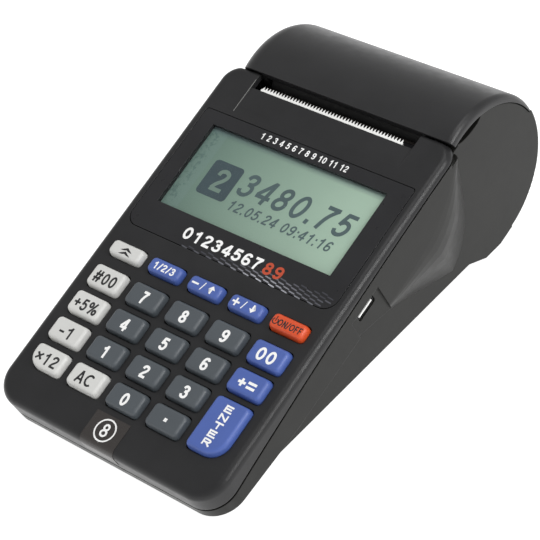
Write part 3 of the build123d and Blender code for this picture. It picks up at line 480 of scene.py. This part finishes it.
def smooth_run(points):
    """A smooth line through points."""
    ends = [points[0]] + list(points) + [points[-1]]
    run = []
    for four in zip(ends, ends[1:], ends[2:], ends[3:]):
        for step in range(smooth_steps):
            run.append(tuple(smooth_part(*parts, step / smooth_steps) for parts in zip(*four)))
    return run + [points[-1]]


def stroke_run(stroke):
    """The middle line of one stroke of a figure."""
    kind, rest = stroke[0], stroke[1:]
    if kind == "L":
        return list(rest)
    if kind == "S":
        return smooth_run(rest)
    x, y, half_x, half_y, start, end = rest
    angles = [radians(start + (end - start) * step / ellipse_steps) for step in range(ellipse_steps + 1)]
    return [(x + half_x * cos(angle), y + half_y * sin(angle)) for angle in angles]


def add_band(shape, run, width, lift):
    """Adds a flat band of a width along a run of points, at a height."""
    rows = []
    for i, (x, y) in enumerate(run):
        before, after = run[max(i - 1, 0)], run[min(i + 1, len(run) - 1)]
        if i in (0, len(run) - 1) and run[0] == run[-1]:
            before, after = run[-2], run[1]
        way = Vector((after[0] - before[0], after[1] - before[1])).normalized()
        side = Vector((-way.y, way.x)) * width / 2
        rows.append([shape.verts.new((x + side.x * end, y + side.y * end, lift)) for end in (-1, 1)])
    for here, there in zip(rows, rows[1:]):
        shape.faces.new((here[0], here[1], there[1], there[0]))


ink_layer = 0.0015      # step between strokes that cross, which lie one over the other


def add_text(shape, text, place, height, squeeze=1.0, slant=0.0, weight=0.19):
    """Adds plain figures to a flat shape, centred on a place, with a height in millimetres."""
    length = sum(GLYPHS[letter][0] for letter in text) - letter_gap
    reach = -length / 2
    for order, letter in enumerate(text):
        for layer, stroke in enumerate(GLYPHS[letter][1]):
            run = [(place[0] + height * (squeeze * (reach + x) + slant * (y - 0.5)),
                    place[1] + height * (y - 0.5)) for x, y in stroke_run(stroke)]
            add_band(shape, run, weight * height, ink_layer * (2 * layer + order % 2))
        reach += GLYPHS[letter][0]


def add_outline(shape, points, place=(0, 0), turn=0.0, lift=0.0):
    """Adds one flat outline to a shape, turned and moved to a place."""
    corners = []
    for x, y in points:
        corners.append(shape.verts.new((place[0] + x * cos(turn) - y * sin(turn),
                                        place[1] + x * sin(turn) + y * cos(turn), lift)))
    shape.faces.new(corners)


def add_arc(shape, place, radius, width, start, end, steps=40):
    """Adds a flat band along a circle, from one angle to another in degrees."""
    rows = []
    for step in range(steps + 1):
        angle = radians(start + (end - start) * step / steps)
        rows.append([shape.verts.new((place[0] + edge * cos(angle), place[1] + edge * sin(angle), 0))
                     for edge in (radius - width / 2, radius + width / 2)])
    for here, there in zip(rows, rows[1:]):
        shape.faces.new((here[0], here[1], there[1], there[0]))


def bar(x, y, half_x, half_y):
    """Corners of an upright rectangle."""
    return [(x + half_x * side_x, y + half_y * side_y)
            for side_x, side_y in ((-1, -1), (1, -1), (1, 1), (-1, 1))]


ARROW = [(-0.3, -1.3), (0.3, -1.3), (0.3, 0.1), (1.2, 0.1), (0, 1.35), (-1.2, 0.1), (-0.3, 0.1)]
SLASH = [(-0.6, -1.35), (-0.25, -1.35), (0.6, 1.35), (0.25, 1.35)]
CHEVRON = [(-2.4, -0.55), (-0.8, -0.4), (0, -0.1), (0.8, -0.4), (2.4, -0.55), (0, 0.75)]
sign_x, sign_half_long, sign_half_thick = -3.5, 1.3, 0.3        # minus or plus beside an arrow
slash_x, arrow_x = -0.5, 2.9
power_x, power_radius, power_width = -4.3, 0.9, 0.34            # ring and stroke of the power sign
enter_first_y, enter_pitch = 5.6, 2.75                          # letters down the tall key


def add_legend(shape, name):
    """Adds the ink of one key, about the middle of its cap."""
    if name.isdigit():
        add_text(shape, name, (0.3, -0.4), 4.1, squeeze=1.05, weight=0.2)
    elif name == "point":
        add_outline(shape, bar(0.3, -0.3, 0.55, 0.55))
    elif name == "feed":
        add_outline(shape, CHEVRON, (0.3, 0.25))
        add_outline(shape, CHEVRON, (0.3, -1.05))
    elif name in ("minus", "plus"):
        add_outline(shape, bar(sign_x, 0.0, sign_half_long, sign_half_thick))
        if name == "plus":
            add_outline(shape, bar(sign_x, 0.0, sign_half_thick, sign_half_long), lift=ink_layer)
        add_outline(shape, SLASH, (slash_x, 0.0))
        add_outline(shape, ARROW, (arrow_x, 0.0), pi if name == "plus" else 0.0)
    elif name == "power":
        add_arc(shape, (power_x, -0.25), power_radius, power_width, 125, 415)
        add_outline(shape, bar(power_x, 0.5, power_width / 2, 0.8), lift=ink_layer)
        add_text(shape, "ON/OFF", (1.1, -0.2), 2.2, squeeze=0.84, weight=0.17)
    elif name == "enter":
        for place, letter in enumerate("ENTER"):
            y = enter_first_y - enter_pitch * place
            add_text(shape, letter, (0.2, y), 2.1, squeeze=2.3, weight=0.26)
    else:
        add_text(shape, *LEGENDS[name])


# text, middle, height, width factor, slant and stroke of the keys with plain signs
LEGENDS = {
    "shift": ("1/2/3", (0.0, -0.1), 2.4, 1.15, 0.0, 0.2),
    "code": ("#00", (0.1, -0.4), 4.0, 1.0, 0.0, 0.17),
    "group": ("+5%", (0.1, -0.4), 4.0, 0.98, 0.0, 0.17),
    "void": ("-1", (0.1, -0.4), 4.0, 1.3, 0.0, 0.17),
    "count": ("x12", (0.1, -0.4), 4.0, 1.08, 0.0, 0.17),
    "clear": ("AC", (0.1, -0.4), 4.0, 1.0, 0.0, 0.17),
    "pay": ("00", (0.1, -0.4), 4.1, 1.25, 0.0, 0.2),
    "subtotal": ("+=", (0.1, -0.4), 4.1, 1.1, 0.0, 0.2),
}
# the same for each row of figures on the display, the panel and the label, placed on the deck
AMOUNT = ("3480.75", (7.8, 36.0), 8.4, 1.11, 0.2, 0.16)
MOMENT = ("12.05.24 09:41:16", (7.0, 28.2), 3.6, 1.07, 0.2, 0.16)
TILE_NUMBER = ("2", (-20.8, 34.0), 8.0, 1.1, 0.0, 0.17)
SCALE = ("1 2 3 4 5 6 7 8 9 10 11 12", (0.0, 51.8), 2.2, 1.02, 0.0, 0.17)
BOLD = ("01234567", (-4.0, 14.2), 4.0, 1.36, 0.0, 0.21)
ACCENT = ("89", (16.0, 14.2), 4.0, 1.36, 0.0, 0.21)
label_middle = (0, -49.7)
LABEL_NUMBER = ("8", label_middle, 4.4, 1.1, 0.0, 0.15)
# heights above the deck, in millimetres
cap_ink = 2.115
display_ink = -1.585    # under the window
number_ink = -1.565     # over the tile
panel_ink = 0.012
bold_ink = 0.014        # over the dashes
label_ink = 0.135


def flat_piece(name, shape, matrix, material, body):
    """Turns a flat shape into a piece."""
    bmesh.ops.triangulate(shape, faces=shape.faces)
    make_object(name, finished_mesh(name, shape, matrix), MATERIALS[material], body)


def print_key(name):
    """The ink on top of one key."""
    x, v, _, _ = key_place(name)
    shape = bmesh.new()
    add_legend(shape, name)
    dark = key_colour(name) in ("key_light", "key_orange")
    ink, slot = ("ink_dark", "key_slate") if dark else ("ink_white", "key_light")
    flat_piece("ink_" + name, shape, deck_matrix(x, v, cap_ink), ink, "key_" + name)


def print_rows(name, rows, height, material):
    """Prints rows of figures on the deck as one piece."""
    shape = bmesh.new()
    for row in rows:
        add_text(shape, *row)
    flat_piece(name, shape, deck_matrix(0, 0, height), material, "case")


tile_middle = (-21.0, 34.0)
tile_half_x, tile_half_y, tile_corner = 5.8, 6.2, 1.4


def print_display():
    """Plain figures on the display: an amount, a smaller row under it and a tile with a number."""
    print_rows("display_figures", (AMOUNT, MOMENT), display_ink, "lcd_figures")
    tile = bmesh.new()
    add_outline(tile, rounded_outline(tile_half_x, tile_half_y, [tile_corner] * 4, 0, 5), tile_middle)
    flat_piece("display_tile", tile, deck_matrix(0, 0, display_ink), "lcd_tile", "case")
    print_rows("display_tile_number", (TILE_NUMBER,), number_ink, "lcd_number")


def print_panel():
    """Rows of plain figures on the panel: small ones behind the display, bold ones in two colours before it."""
    print_rows("panel_scale", (SCALE,), panel_ink, "ink_white")
    print_rows("panel_figures", (BOLD,), bold_ink, "ink_white")
    print_rows("panel_accent", (ACCENT,), bold_ink, "ink_orange")


weave_front_v = 9.9     # first row of dashes
weave_pitch_x, weave_pitch_v = 4.9, 0.62
weave_rows, weave_columns = 8, 12
weave_left, weave_right = -16.0, 38.6
corner_v, corner_slope = 12.4, 0.9      # before this v the rows end earlier, as the panel's corner is round
weave_edge_v, weave_fade = 9.8, 0.8     # brightest place along v, and what is lost up to the rear end
weave_rear_v, weave_rise = 10.8, 3.8    # rear end at the left, and how much further back it is at the right
rise_x, rise_long = -12, 48             # where that rise starts along x, and its length
weave_middle, weave_reach = 16, 15      # brightest place along x, and how far its brightness carries
weave_low = 0.2                         # brightness far from the middle
weave_steps = 6                         # pieces of one tone each
weave_faint = 0.06                      # fainter dashes are left out
weave_dark, weave_range = 56, 120       # 8-bit level of the darkest tone, and the way to the brightest
DASH = [(-1.3, 0.14), (-1.0, 0.31), (0.9, 0.13), (1.3, -0.14), (1.0, -0.29), (-0.9, -0.11)]


def weave_tone(x, v):
    """How bright the woven pattern of the panel is at a place, from 0 to 1."""
    rear_v = weave_rear_v + weave_rise * min(max((x - rise_x) / rise_long, 0), 1)
    along = weave_low + (1 - weave_low) * exp(-((x - weave_middle) / weave_reach) ** 2)
    return along * max(1 - weave_fade * (v - weave_edge_v) / (rear_v - weave_edge_v), 0) * (v < rear_v)


def print_weave():
    """Rows of short slanting dashes along the panel's front edge, brightest right of the middle."""
    tones = [bmesh.new() for _ in range(weave_steps)]
    for row in range(weave_rows):
        v = weave_front_v + weave_pitch_v * row
        end_x = weave_right - max(0, corner_v - v) * corner_slope
        for column in range(weave_columns):
            x = weave_left + weave_pitch_x * column + weave_pitch_x / 2 * (row % 2)
            tone = weave_tone(x, v)
            if tone > weave_faint and x < end_x:
                add_outline(tones[min(int(tone * weave_steps), weave_steps - 1)], DASH, (x, v))
    for index, shape in enumerate(tones):
        level = weave_dark + weave_range * index / (weave_steps - 1)
        key = "weave_" + str(index)
        MATERIALS[key] = plastic(key, srgb(level, level + 1, level + 8), 0.35, grain_depth=0.003, spread=0.15)
        flat_piece("panel_" + key, shape, deck_matrix(0, 0, panel_ink), key, "case")


label_radius, label_width = 3.45, 0.5


def print_label():
    """A ring with a plain number on the seal label."""
    shape = bmesh.new()
    add_arc(shape, label_middle, label_radius, label_width, 0, 360, 56)
    add_text(shape, *LABEL_NUMBER)
    flat_piece("label_ring", shape, deck_matrix(0, 0, label_ink), "ink_white", "case")


# ---- small pieces: the cutter, the socket's tongue and a painted highlight on the ramp's edge ----------
def prism_mesh(name, outline, matrix, low, high):
    """A closed solid: an outline in the side view, (v, w), drawn out along x from one end to the other."""
    shape = bmesh.new()
    ends = [[shape.verts.new((x, v, w)) for v, w in outline] for x in (low, high)]
    for i in range(len(outline)):
        j = (i + 1) % len(outline)
        shape.faces.new((ends[0][i], ends[1][i], ends[1][j], ends[0][j]))
    shape.faces.new(ends[0])
    shape.faces.new(list(reversed(ends[1])))
    bmesh.ops.recalc_face_normals(shape, faces=shape.faces)
    return finished_mesh(name, shape, matrix)


# side view of the strip, (v, w): its foot under the cover and the lip bent up to the slot's front edge
CUTTER = [(61.5, -2.6), (65.95, -2.6), (65.95, -1.15), (66.3, -1.15), (66.3, -0.65), (65.45, -0.65),
          (65.45, -2.05), (61.5, -2.05)]
tooth_pitch, tooth_half = 1.15, 0.36
tooth_root, tooth_reach = 66.25, 67.5                   # v of a tooth's root and of its tip
tooth_low, tooth_high, tooth_tip = -1.1, -0.68, -0.8    # w of the root's lower and upper edge and of the tip
strip_spare = 0.4       # least length that the strip is shorter than the CAD bar
on_deck = deck_matrix(0, 0, 0)


def build_cutter():
    """Serrated strip bent up to the front edge of the paper slot, with pointed teeth."""
    low, high = deck_box("cutter_bar")
    count = int((high[0] - low[0] - strip_spare) / tooth_pitch)
    left = (low[0] + high[0] - count * tooth_pitch) / 2
    right = left + count * tooth_pitch
    piece = make_object("cutter_strip", prism_mesh("cutter_strip", CUTTER, on_deck, left, right),
                        MATERIALS["cutter"], "case")
    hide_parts("cutter_bar")
    shape = bmesh.new()
    for index in range(count):
        x = left + tooth_pitch * (index + 0.5)
        base = [shape.verts.new((x + side, tooth_root, height)) for side, height in
                ((-tooth_half, tooth_low), (tooth_half, tooth_low), (tooth_half, tooth_high),
                 (-tooth_half, tooth_high))]
        tip = shape.verts.new((x, tooth_reach, tooth_tip))
        shape.faces.new(list(reversed(base)))
        for i in range(4):
            shape.faces.new((base[i], base[(i + 1) % 4], tip))
    bmesh.ops.recalc_face_normals(shape, faces=shape.faces)
    mesh = finished_mesh("cutter_teeth", shape, on_deck)
    make_object("cutter_teeth", mesh, MATERIALS["cutter"], "case")


tongue_half = 3.2                       # half its size along v
tongue_low, tongue_high = 0.75, 0.15    # both faces, below the socket's middle
tongue_long, tongue_back = 3, 0.1       # its inner and its outer end, behind the socket's mouth


def build_socket():
    """Tongue in the mouth of the socket, white so that it also serves as a painted highlight for the lit inner
    wall of the socket's shell.
    """
    low, high = deck_box("usb_socket")
    v, w = (low[1] + high[1]) / 2, (low[2] + high[2]) / 2
    outline = [(v - tongue_half, w - tongue_low), (v + tongue_half, w - tongue_low),
               (v + tongue_half, w - tongue_high), (v - tongue_half, w - tongue_high)]
    mesh = prism_mesh("socket_tongue", outline, on_deck, high[0] - tongue_long, high[0] - tongue_back)
    make_object("socket_tongue", mesh, MATERIALS["cutter"], "case")


ramp_front_v, ramp_rear_v = 55.9, 68.3
ramp_left, ramp_right = -31.62, -31.42
glint_thick = 0.03


def build_ramp_edge():
    """Painted highlight: a thin light strip on the edge where the cover steps down to the paper slot at its
    left end.
    """
    outline = [(ramp_front_v, 0.0), (ramp_rear_v, 0.0), (ramp_rear_v, glint_thick),
               (ramp_front_v, glint_thick)]
    make_object("ramp_edge_highlight", prism_mesh("ramp_edge_highlight", outline, on_deck, ramp_left, ramp_right),
                MATERIALS["glint"], "case")


for key_name in KEY_NAMES:
    print_key(key_name)
print_display()
print_panel()
print_weave()
print_label()
build_cutter()
build_socket()
build_ramp_edge()

# ---- camera, floor and light -----------------------------------------------------------------------
camera_azimuth = 50.555
camera_elevation = 40.984
camera_distance = 0.65193
camera_roll = -14.578
camera_target = Vector((0.003247, -0.003751, 0.019371))
lens_mm = 147.405
sensor_mm = 36.0


def set_camera():
    """The photographer's place, tilted so that the drum leans to the right."""
    data = bpy.data.cameras.new("camera")
    data.lens = lens_mm
    data.sensor_width = sensor_mm
    data.clip_start = 0.01
    data.clip_end = 20.0
    camera = bpy.data.objects.new("camera", data)
    bpy.context.scene.collection.objects.link(camera)
    azimuth, elevation = radians(camera_azimuth), radians(camera_elevation)
    back = Vector((sin(azimuth) * cos(elevation), -cos(azimuth) * cos(elevation), sin(elevation)))
    right = Vector((0, 0, 1)).cross(back).normalized()
    rotation = Matrix((right, back.cross(right), back)).transposed()
    rotation = rotation @ Matrix.Rotation(radians(camera_roll), 3, "Z")
    camera.matrix_world = Matrix.Translation(camera_target + back * camera_distance) @ rotation.to_4x4()
    bpy.context.scene.camera = camera


def area_light(name, place, target, size_x, size_y, power):
    """A soft box that looks at a point."""
    data = bpy.data.lights.new(name, "AREA")
    data.shape = "RECTANGLE"
    data.size = size_x
    data.size_y = size_y
    data.energy = power
    light = bpy.data.objects.new(name, data)
    bpy.context.scene.collection.objects.link(light)
    light.location = place
    light.rotation_euler = (Vector(target) - Vector(place)).to_track_quat("-Z", "Y").to_euler()


floor_size = 8.0
floor_cloud_mm = 120.0
floor_dark, floor_light = 0.42, 0.46    # ends of the table's slow changes of tone
floor_glow = 0.92                       # lit table, which keeps the shadow faint
horizon_glow, zenith_glow = 0.85, 0.45  # light of the surroundings, level and from above
zenith_from = 0.9                       # height of a direction from which it counts as above


def set_floor():
    """White table that glows."""
    bpy.ops.mesh.primitive_plane_add(size=floor_size, location=(0, 0, 0))
    floor = bpy.context.active_object
    floor.name = "floor"
    white = Nodes("floor_white")
    dark, light = [(tone, tone, tone, 1) for tone in (floor_dark, floor_light)]
    white.set(Base_Color=white.mix(white.ramp(white.noise(floor_cloud_mm), 0, 1), dark, light))
    white.set(Roughness=0.6, Emission_Color=(1, 1, 1, 1), Emission_Strength=floor_glow)
    floor.data.materials.append(white.material)


def set_world():
    """Pale surroundings, brightest at the horizon."""
    world = bpy.data.worlds.new("studio")
    world.use_nodes = True
    tree = world.node_tree
    background = tree.nodes["Background"]
    direction = tree.nodes.new("ShaderNodeTexCoord")
    split = tree.nodes.new("ShaderNodeSeparateXYZ")
    glow = tree.nodes.new("ShaderNodeMapRange")
    glow.inputs["From Min"].default_value = 0.0
    glow.inputs["From Max"].default_value = zenith_from
    glow.inputs["To Min"].default_value = horizon_glow
    glow.inputs["To Max"].default_value = zenith_glow
    background.inputs["Color"].default_value = (1, 1, 1, 1)
    tree.links.new(direction.outputs["Generated"], split.inputs["Vector"])
    tree.links.new(split.outputs["Z"], glow.inputs["Value"])
    tree.links.new(glow.outputs["Result"], background.inputs["Strength"])
    bpy.context.scene.world = world


set_camera()
set_floor()
set_world()
area_light("top_box", (0.05, 0.2, 1.2), (0, 0, 0), 0.6, 0.6, 3.0)
area_light("right_box", (0.95, 0.12, 0.82), (0, 0, 0.02), 0.1, 0.8, 7.0)
bpy.context.scene.view_settings.view_transform = "Standard"
